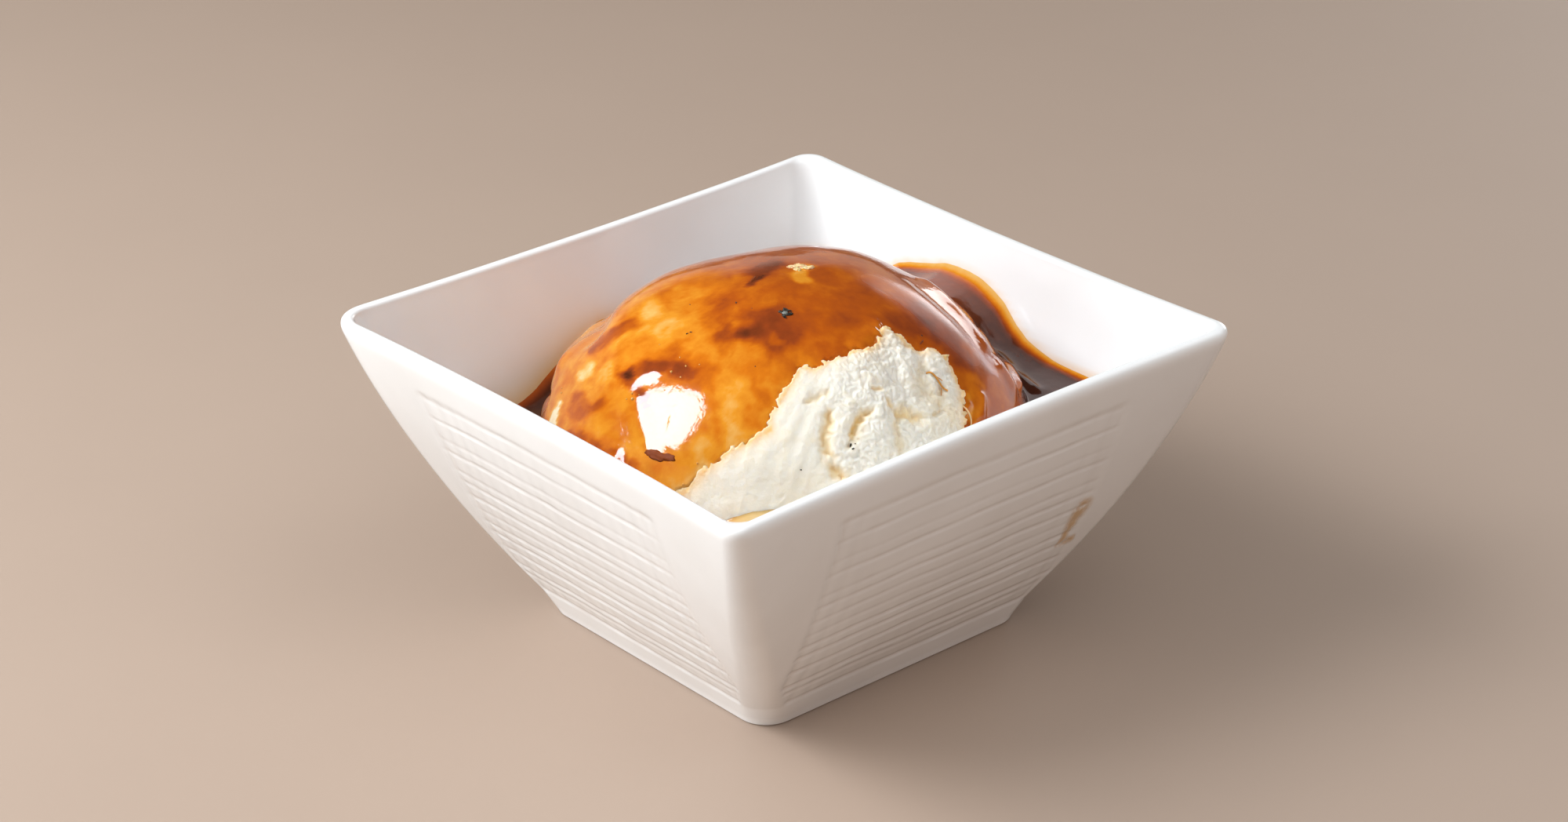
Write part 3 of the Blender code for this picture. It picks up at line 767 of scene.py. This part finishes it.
def gravy_depth(points, angle, in_pool, from_wall, from_bare):
    """How thick the gravy looks, 0 where the potato shows and 1 where it is darkest, with the pool's edge on
    the left wall painted darker as shade.
    """
    drift = np.stack([swells(points, 5 * MM, seed, 4) for seed in (53, 54, 55)], 1)
    bent = points + drift * 1.1 * MM
    x, y, z = bent.T / MM
    far_side = ease((y * 0.9 + x * 0.35 + 24) / 26)
    depth = 0.32 + 0.18 * far_side
    runs = np.stack([x * 0.77 - y * 0.64, (x * 0.64 + y * 0.77) * 1.8, z], 1) * MM
    patchy = 0.025 + 0.03 * (1 - far_side)
    depth += 0.05 * swells(runs, 8 * MM, 51, 2) + patchy * swells(bent, 3.0 * MM, 52, 3)
    for path, width, amount in STROKES:
        depth += amount * ease(near_path(bent, path, width) * 1.35 - 0.12)
    depth -= 0.15 * np.exp(-np.clip(from_bare / MM, 0, 99) / 1.1)
    at_front = towards(angle, *FRONT_BEARING)
    pool = np.where(in_pool, 1.0, ease((47.0 - points[:, 2] / MM) / 4)) * (1 - at_front)
    depth = depth + (0.90 - 0.22 * towards(angle, *LEDGE_BEARING) - depth) * pool
    depth = depth + (0.05 - depth) * at_front * in_pool
    film_width = (3.0 + towards(angle, *BACK_BEARING)) * MM
    film = ease(from_wall / film_width) * (1 - at_front) + at_front
    # Painted shade: against the left wall the pool's edge is made darker for the shade between the mound and
    # the wall
    thinnest_and_left_shade = 0.14 + 0.38 * towards(angle, *LEFT_SHADE_BEARING)
    return np.clip(np.where(in_pool, thinnest_and_left_shade + (depth - thinnest_and_left_shade) * film, depth), 0, 1)


def gravy_places(column, row):
    """Every point of the gravy's top: from the wall across the pool and over the mound."""
    turn = column / GRAVY_COLUMNS
    angle = np.radians(crowded(turn, [(0, -180), (0.17, -85), (0.66, 38), (1, 180)]))
    edge = pool_edge(angle)
    reach = cavity_reach(angle, edge) + 0.1 * MM
    wall = np.stack([reach * np.cos(angle), reach * np.sin(angle), edge], 1)
    level = edge - LEDGE_DIP
    low = rise_at(level)
    join, _ = mound_points(angle, low)
    share = np.clip(crowded(row / POOL_ROWS, [(0, 0), (0.4, 0.15), (0.85, 0.85), (1, 1)]), 0, 1)
    pool = wall + (join - wall) * share[:, None]
    width = np.linalg.norm((join - wall)[:, :2], axis=1)
    from_wall = share * width
    pool[:, 2] = level + LEDGE_DIP * np.exp(-from_wall / (1.1 * MM))
    pool[:, 2] += 0.55 * MM * np.exp(-(width - from_wall) / (0.9 * MM))
    settled = ease(from_wall / (2 * MM)) * ease((width - from_wall) / MM)
    pool[:, 2] += settled * (0.15 * MM * swells(pool, 9 * MM, 44) + folded(pool))
    climb = np.clip((row - POOL_ROWS) / DOME_ROWS, 0, 1)
    rise = low + (1 - low) * crowded(climb, [(0, 0), (0.62, 0.55), (1, 1)])
    dome, outward = mound_points(angle, rise)
    settled = ease(climb * 12)
    from_bare = -ragged_bareness(dome)
    worn = ease(-from_bare / (0.5 * MM) + 0.5) * SUNK
    worn += 0.3 * MM * np.exp(-np.clip(from_bare / MM, 0, 9) / 0.8)
    outset = 0.40 * MM * (1 - settled) + (draped(dome) + heaped(dome) - worn) * settled
    dome = dome + outward * outset[:, None]
    top = row == POOL_ROWS + DOME_ROWS
    dome[top] = dome[top].mean(0)
    in_pool = row <= POOL_ROWS
    points = np.where(in_pool[:, None], pool, dome)
    far = np.where(in_pool, from_wall, 1.0)
    near_bare = np.where(in_pool, 1.0, np.clip(from_bare, 0, 1))
    depth = gravy_depth(points, angle, in_pool, far, near_bare)
    buried = np.where(in_pool, 0.0, worn * settled)
    dull = near_path(points, DULL_SKIN, DULL_WIDTH) * ~in_pool
    juice = towards(angle, *FRONT_BEARING) * in_pool
    kept = {"depth": depth, "juice": juice, "dull": dull, "buried": buried, "rise": rise}
    return points, {**kept, "share": np.where(in_pool, share, 2.0)}


gravy = skin("brown_gravy", GRAVY_COLUMNS, POOL_ROWS + DOME_ROWS, gravy_places)


def give_underside(piece):
    """Open the coat where the potato is bare, then close it below, against the potato and the wall."""
    shell = bmesh.new()
    shell.from_mesh(piece.data)
    buried = shell.verts.layers.float["buried"]
    share = shell.verts.layers.float["share"]
    rise = shell.verts.layers.float["rise"]
    hidden = [face for face in shell.faces if min(vert[buried] for vert in face.verts) > CUT_AWAY]
    bmesh.ops.delete(shell, geom=hidden, context="FACES")
    made = bmesh.ops.extrude_face_region(shell, geom=list(shell.faces), use_keep_orig=True)
    lower = [item for item in made["geom"] if isinstance(item, bmesh.types.BMVert)]
    places = np.array([vert.co for vert in lower])
    angle = np.arctan2(places[:, 1] - MOUND_CENTRE[1], places[:, 0] - MOUND_CENTRE[0])
    rises = np.array([vert[rise] for vert in lower])
    shares = np.array([vert[share] for vert in lower])
    seat, outward = mound_points(angle, rises)
    seat = seat + outward * (heaped(seat) - COAT - 0.3 * MM)[:, None]
    pool_depth = 4 * shares * (1 - shares) * POOL_DEPTH
    below = places - np.stack([0 * shares, 0 * shares, pool_depth + COAT * shares], 1)
    placed = np.where((shares > 1.5)[:, None], seat, below)
    for vert, place in zip(lower, placed):
        vert.co = place
    bmesh.ops.recalc_face_normals(shell, faces=shell.faces)
    shell.to_mesh(piece.data)
    shell.free()


give_underside(gravy)

# Colour of the gravy by how thick it looks
GRAVY_TONES = [
    (0.00, (0.78, 0.66, 0.44)), (0.12, (0.68, 0.40, 0.12)), (0.26, (0.65, 0.25, 0.018)),
    (0.38, (0.55, 0.145, 0.006)), (0.50, (0.39, 0.076, 0.005)), (0.62, (0.25, 0.044, 0.008)),
    (0.78, (0.11, 0.023, 0.007)), (0.90, (0.05, 0.012, 0.005)), (1.00, (0.022, 0.007, 0.004)),
]
JUICE = (0.56, 0.385, 0.16)
sauce = Finish("brown gravy", IOR=1.5)
depth = sauce.kept("depth") + (sauce.noise(1.6 * MM, 4.0, 0.6) - 0.5) * 0.12
gravy_colour = None
for (start, low_tone), (end, high_tone) in zip(GRAVY_TONES[:-1], GRAVY_TONES[1:]):
    share = sauce.clamp((depth - start) / (end - start))
    gravy_colour = sauce.mix(share, gravy_colour or low_tone, high_tone)
ripple = sauce.noise(3.0 * MM, 2.0) + sauce.noise(1.1 * MM, 2.0) * (1.1 - sauce.kept("depth"))
sauce.wear(
    Base_Color=sauce.mix(sauce.clamp(sauce.kept("juice")), gravy_colour, JUICE),
    Roughness=0.08 + sauce.kept("dull") * 0.32,
    Normal=sauce.bump(ripple, 0.04 * MM),
)
gravy.data.materials.append(sauce.material)
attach(gravy, "root")
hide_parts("gravy")


# ----------------------------------------------------------
# Lump. One small lump of potato that the gravy has run off, bright against the thick gravy round it.
# It lies half sunk in the gravy.

TOP_SURFACES = [
    BVHTree.FromPolygons([v.co for v in top.data.vertices], [f.vertices for f in top.data.polygons])
    for top in (gravy, potato)
]


def landing(x, y):
    """The highest point of the dish below a place seen from above, and the way out of its surface."""
    hits = [tree.ray_cast(Vector((x * MM, y * MM, 0.1)), Vector((0, 0, -1)))[:2] for tree in TOP_SURFACES]
    return max((hit for hit in hits if hit[0]), key=lambda hit: hit[0].z)


def add_bit(bits, place, size, turn, seed, rough, sunk):
    """One rounded uneven bit lying on the dish, of a size along, across and up."""
    seat, outward = landing(*place)
    heading = Vector((math.cos(math.radians(turn)), math.sin(math.radians(turn)), 0))
    beside = outward.cross(heading).normalized()
    lie = Matrix((beside.cross(outward), beside, outward)).transposed()
    made = bmesh.ops.create_icosphere(bits, subdivisions=3, radius=0.5)
    for vert in made["verts"]:
        bulge = 1 + rough * noise.noise(vert.co * 4 + Vector((seed, 2 * seed, -seed)))
        shaped = Vector([value * length * MM for value, length in zip(vert.co * bulge, size)])
        vert.co = seat + lie @ (shaped + Vector((0, 0, (0.5 - sunk) * size[2] * MM)))


def lay(name, finish, add, bits, *shared):
    """A piece from all bits of one kind, each added with its own values and those that they share."""
    heap = bmesh.new()
    for bit in bits:
        add(heap, *bit, *shared)
    bmesh.ops.recalc_face_normals(heap, faces=heap.faces)
    mesh = bpy.data.meshes.new(name)
    heap.to_mesh(mesh)
    heap.free()
    mesh.shade_smooth()
    mesh.materials.append(finish.material)
    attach(stand(name, mesh), "root")


# Rounded bits here and below: place seen from above and size in millimetres, turn in degrees, seed
LUMPS = [
    ((1.6, 4.6), (2.6, 1.6, 0.9), 30, 1.3), ((3.2, 5.6), (1.9, 1.3, 0.9), 60, 2.1),
    ((2.4, 3.4), (1.7, 1.0, 0.6), -10, 2.9), ((0.6, 3.2), (1.2, 0.8, 0.5), 20, 3.7),
]
LUMP_STAINED = (0.74, 0.46, 0.18)
LUMP_PALE = (0.82, 0.63, 0.38)
pale = Finish("gravy stained potato", Roughness=0.35, Subsurface_Weight=0.4, Subsurface_Scale=1.0 * MM)
pale.wear(Base_Color=pale.mix(pale.noise(1.2 * MM, 2.0), LUMP_STAINED, LUMP_PALE))
lay("potato_lump", pale, add_bit, LUMPS, 1.0, 0.55)


# ----------------------------------------------------------
# Pepper. One coarse cracked flake, its husk nearly black round a pale heart, and fine black specks.
# They lie on the wet gravy and on the mash.

FLAKES = [
    ((12.4, -8.1), (1.5, 0.9, 0.4), 150, 3.0), ((13.7, -8.2), (1.2, 0.7, 0.4), 60, 4.0),
    ((13.5, -9.3), (1.3, 0.6, 0.3), -20, 5.0), ((12.2, -9.0), (0.9, 0.6, 0.3), 20, 6.0),
    ((13.0, -7.5), (0.7, 0.35, 0.25), 20, 8.0),
]
HEART = [((13.0, -8.7), (1.1, 0.9, 0.45), 10, 7.0)]
SPECKS = [
    ((38.3, -15.1), (0.65, 0.3, 0.25), 100), ((39.1, -15.3), (0.5, 0.28, 0.25), 60),
    ((38.7, -14.4), (0.2, 0.2, 0.15), 0), ((35.5, -24.6), (0.35, 0.25, 0.2), 30),
    ((3.7, -12.6), (0.5, 0.22, 0.2), -40), ((2.2, -23.2), (0.5, 0.2, 0.2), 60),
    ((2.6, -22.6), (0.6, 0.18, 0.2), 30), ((19.0, -21.0), (0.2, 0.2, 0.15), 0),
    ((-4.5, -17.0), (0.2, 0.15, 0.15), 0), ((7.5, -12.0), (0.18, 0.15, 0.12), 0),
    ((27.6, 11.9), (0.35, 0.2, 0.2), 20),
]
HUSK = (0.020, 0.017, 0.013)
HUSK_CRACK = (0.09, 0.075, 0.055)
KERNEL = (0.26, 0.29, 0.26)
KERNEL_SHADE = (0.12, 0.12, 0.11)
husk = Finish("cracked pepper husk", Roughness=0.7, Specular_IOR_Level=0.2)
cracked = husk.step(husk.noise(0.5 * MM, 2.0), 0.45, 0.7)
husk.wear(Base_Color=husk.mix(cracked, HUSK, HUSK_CRACK))
lay("pepper_flake", husk, add_bit, FLAKES, 0.9, 0.25)

kernel = Finish("pepper kernel", Roughness=0.5)
kernel.wear(Base_Color=kernel.mix(kernel.noise(0.3 * MM, 2.0), KERNEL, KERNEL_SHADE))
lay("pepper_heart", kernel, add_bit, HEART, 0.6, 0.2)
lay("pepper_specks", husk, add_bit, [(*speck, speck[0][0]) for speck in SPECKS], 0.6, 0.2)


# ----------------------------------------------------------
# Scraps. Dark bits of roasting pan crust in the gravy: a long wet scrap near the foot of the mound, and
# two thin slivers higher up. Each lies flat, wetted by the gravy.

SCRAPS = [
    ((13.4, -40.0), (4.6, 1.7, 0.5), 14, 11.0), ((15.6, -39.2), (3.0, 1.4, 0.45), 24, 12.0),
    ((11.9, -40.4), (2.0, 1.0, 0.35), 5, 13.0), ((28.8, 10.8), (1.7, 0.35, 0.3), 118, 14.0),
    ((-0.2, -5.2), (2.4, 0.5, 0.3), -62, 15.0),
]
CRUST = (0.14, 0.028, 0.006)
CRUST_BROWN = (0.24, 0.055, 0.012)
crust = Finish("dark crust", Roughness=0.6, Specular_IOR_Level=0.15)
crust.wear(Base_Color=crust.mix(crust.noise(0.9 * MM, 2.0), CRUST, CRUST_BROWN))
lay("crust_scraps", crust, add_bit, SCRAPS, 0.5, 0.55)


# ----------------------------------------------------------
# Herb. One thin dry amber fibre across the top of the bare mash, with two side twigs, and a pale thread
# on the gravy past its outer end. They rest where they fell.

# Threads: a path seen from above with the lift off the dish, and the thickness, in millimetres
FIBRE = [
    ([(34.6, 6.6, 0.1), (35.2, 7.2, 0.3), (36.0, 7.4, 0.3), (36.7, 8.0, 0.3), (37.5, 8.2, 0.4),
      (38.1, 8.7, 0.3)], 0.34),
    ([(35.8, 7.3, 0.2), (36.2, 7.9, 0.4), (36.7, 8.5, 0.3)], 0.18),
    ([(37.0, 8.0, 0.2), (37.5, 7.8, 0.4), (37.9, 7.3, 0.2)], 0.16),
]
PALE_THREAD = [([(40.1, 10.5, 0.2), (40.8, 11.1, 0.5), (41.5, 11.2, 0.5), (41.9, 10.7, 0.2)], 0.3)]


def add_thread(bits, path, thickness):
    """One thin thread laid over the dish."""
    curve = bpy.data.curves.new("thread", "CURVE")
    curve.dimensions = "3D"
    curve.bevel_depth = thickness / 2 * MM
    curve.bevel_resolution = 2
    curve.use_fill_caps = True
    line = curve.splines.new("NURBS")
    line.points.add(len(path) - 1)
    for point, (x, y, lift) in zip(line.points, path):
        seat, outward = landing(x, y)
        point.co = (*(seat + outward * lift * MM), 1.0)
    line.use_endpoint_u = True
    line.order_u = 3
    carrier = bpy.data.objects.new("thread", curve)
    mesh = bpy.data.meshes.new_from_object(carrier)
    bits.from_mesh(mesh)
    bpy.data.meshes.remove(mesh)
    bpy.data.objects.remove(carrier)
    bpy.data.curves.remove(curve)


HERB_AMBER = (0.74, 0.34, 0.05)
HERB_BROWN = (0.42, 0.15, 0.018)
dry = Finish("dry herb", Roughness=0.45)
dry.wear(Base_Color=dry.mix(dry.noise(0.8 * MM, 2.0), HERB_AMBER, HERB_BROWN))
lay("herb_fibre", dry, add_thread, FIBRE)
lay("pale_thread", pale, add_thread, PALE_THREAD)


# ----------------------------------------------------------
# Bubbles. Tiny bubbles stand on the gravy where it was poured, as amber domes with wet skins.
# They float near the front and the left foot of the mound.

# Place seen from above, and width, in millimetres
BUBBLES = [
    (6.2, -30.3, 0.5), (8.0, -28.3, 0.4), (8.7, -30.2, 0.35), (1.5, -35.9, 0.5), (2.3, -36.5, 0.6),
    (20.2, -39.5, 0.45), (21.1, -36.8, 0.4), (-20.3, -36.0, 0.4), (-21.2, -35.2, 0.3), (5.4, -27.6, 0.3),
    (3.1, -35.6, 0.3), (10.2, -26.9, 0.3), (-0.8, -27.4, 0.25), (7.4, -33.0, 0.3), (0.9, -36.8, 0.3),
]
BUBBLE_GOLD = (0.72, 0.42, 0.12)
BUBBLE_BROWN = (0.55, 0.22, 0.04)
wet = Finish("gravy bubble", Roughness=0.05, IOR=1.5)
wet.wear(Base_Color=wet.mix(wet.noise(0.7 * MM, 1.0), BUBBLE_GOLD, BUBBLE_BROWN))
domes = [((x, y), (width, width, width), 0.0, x) for x, y, width in BUBBLES]
lay("gravy_bubbles", wet, add_bit, domes, 0.05, 0.45)


# ----------------------------------------------------------
# Table, light and camera: a plain pale table top, one soft window-like light from the left, a dimmer
# one from behind, soft light from above, and a room that glows near the horizon.

TABLE_SIZE = 8.0
TABLE_TONE = (0.40, 0.30, 0.235)
ROOM_TONE = (1.0, 0.86, 0.75)
# Sine of the height above the horizon where the room's glow starts and stops to fade, then its strength at
# each of them
ROOM_FADE = (0.10, 0.40, 0.58, 0.06)
WINDOW_TONE = (0.93, 0.97, 1.0)
GLEAM_TONE = (0.83, 0.89, 1.0)
LOW_TONE = (0.86, 0.95, 1.0)
SIDE_TONE = (1.0, 0.42, 0.22)
LOOK_AT = Vector((0.65, 0.77, 43.25)) * MM
CAMERA_DISTANCE = 0.7193
CAMERA_AZIMUTH = -39.75
CAMERA_ELEVATION = 25.85
CAMERA_ROLL = -1.44
CAMERA_LENS = 86.68


def direction(azimuth, elevation):
    """A unit vector by degrees round from +X and degrees above the table."""
    turn, lift = math.radians(azimuth), math.radians(elevation)
    return Vector((math.cos(turn) * math.cos(lift), math.sin(turn) * math.cos(lift), math.sin(lift)))


table_mesh = bmesh.new()
bmesh.ops.create_grid(table_mesh, x_segments=1, y_segments=1, size=TABLE_SIZE / 2)
table_data = bpy.data.meshes.new("table_top")
table_mesh.to_mesh(table_data)
table_mesh.free()
table = stand("table_top", table_data)
matt = Finish("pale table", Roughness=0.6)
matt.wear(Base_Color=matt.mix(matt.noise(60 * MM, 3.0), TABLE_TONE, [tone * 1.05 for tone in TABLE_TONE]))
table.data.materials.append(matt.material)


def soft_light(
    name, azimuth, elevation, distance, size, brightness,
    tone=(1, 1, 1), diffuse=True, glossy=True, shape="RECTANGLE",
):
    """A soft light of a size and brightness, pointing at the bowl."""
    data = bpy.data.lights.new(name, "AREA")
    data.shape = shape
    data.size, data.size_y = size
    data.energy = brightness * math.pi * size[0] * size[1]
    data.color = tone
    lamp = stand(name, data)
    lamp.location = LOOK_AT + direction(azimuth, elevation) * distance
    lamp.rotation_mode = "QUATERNION"
    lamp.rotation_quaternion = direction(azimuth, elevation).to_track_quat("Z", "Y")
    lamp.visible_diffuse = diffuse
    lamp.visible_glossy = glossy


soft_light("window", -125, 43, 0.8, (0.62, 0.34), 12.1, WINDOW_TONE, glossy=False)
soft_light("window_gleam", -119.5, 42.5, 0.8, (0.38, 0.34), 17.0, GLEAM_TONE, diffuse=False, shape="ELLIPSE")
soft_light("back_window", 112, 13, 1.2, (0.46, 0.30), 4.4, diffuse=False)
soft_light("low_fill", -105, 8, 0.9, (0.7, 0.4), 3.8, LOW_TONE, glossy=False)
soft_light("ceiling", -50, 72, 1.2, (1.8, 1.8), 0.75, WINDOW_TONE, glossy=False)
soft_light("sky_fill", 30, 52, 1.2, (1.0, 1.0), 1.65, WINDOW_TONE, glossy=False)
soft_light("side_fill", 5, 12, 1.0, (1.0, 0.5), 0.25, SIDE_TONE, glossy=False)

world = bpy.data.worlds.new("room")
world.use_nodes = True
room = world.node_tree
way = room.nodes.new("ShaderNodeTexCoord")
split = room.nodes.new("ShaderNodeSeparateXYZ")
fade = room.nodes.new("ShaderNodeMapRange")
fade.interpolation_type = "SMOOTHSTEP"
room.links.new(way.outputs["Generated"], split.inputs["Vector"])
room.links.new(split.outputs["Z"], fade.inputs["Value"])
for socket, value in zip(("From Min", "From Max", "To Min", "To Max"), ROOM_FADE):
    fade.inputs[socket].default_value = value
room.links.new(fade.outputs["Result"], room.nodes["Background"].inputs["Strength"])
room.nodes["Background"].inputs["Color"].default_value = (*ROOM_TONE, 1.0)
bpy.context.scene.world = world

camera_data = bpy.data.cameras.new("camera")
camera_data.lens = CAMERA_LENS
camera_data.sensor_width = 36.0
camera_data.clip_start = 0.05
camera_data.clip_end = 20.0
camera = stand("camera", camera_data)
view_from = direction(CAMERA_AZIMUTH, CAMERA_ELEVATION)
camera.location = LOOK_AT + view_from * CAMERA_DISTANCE
camera.rotation_mode = "QUATERNION"
roll = Matrix.Rotation(math.radians(CAMERA_ROLL), 3, "Z").to_quaternion()
camera.rotation_quaternion = view_from.to_track_quat("Z", "Y") @ roll
bpy.context.scene.camera = camera
bpy.context.scene.view_settings.view_transform = "Standard"
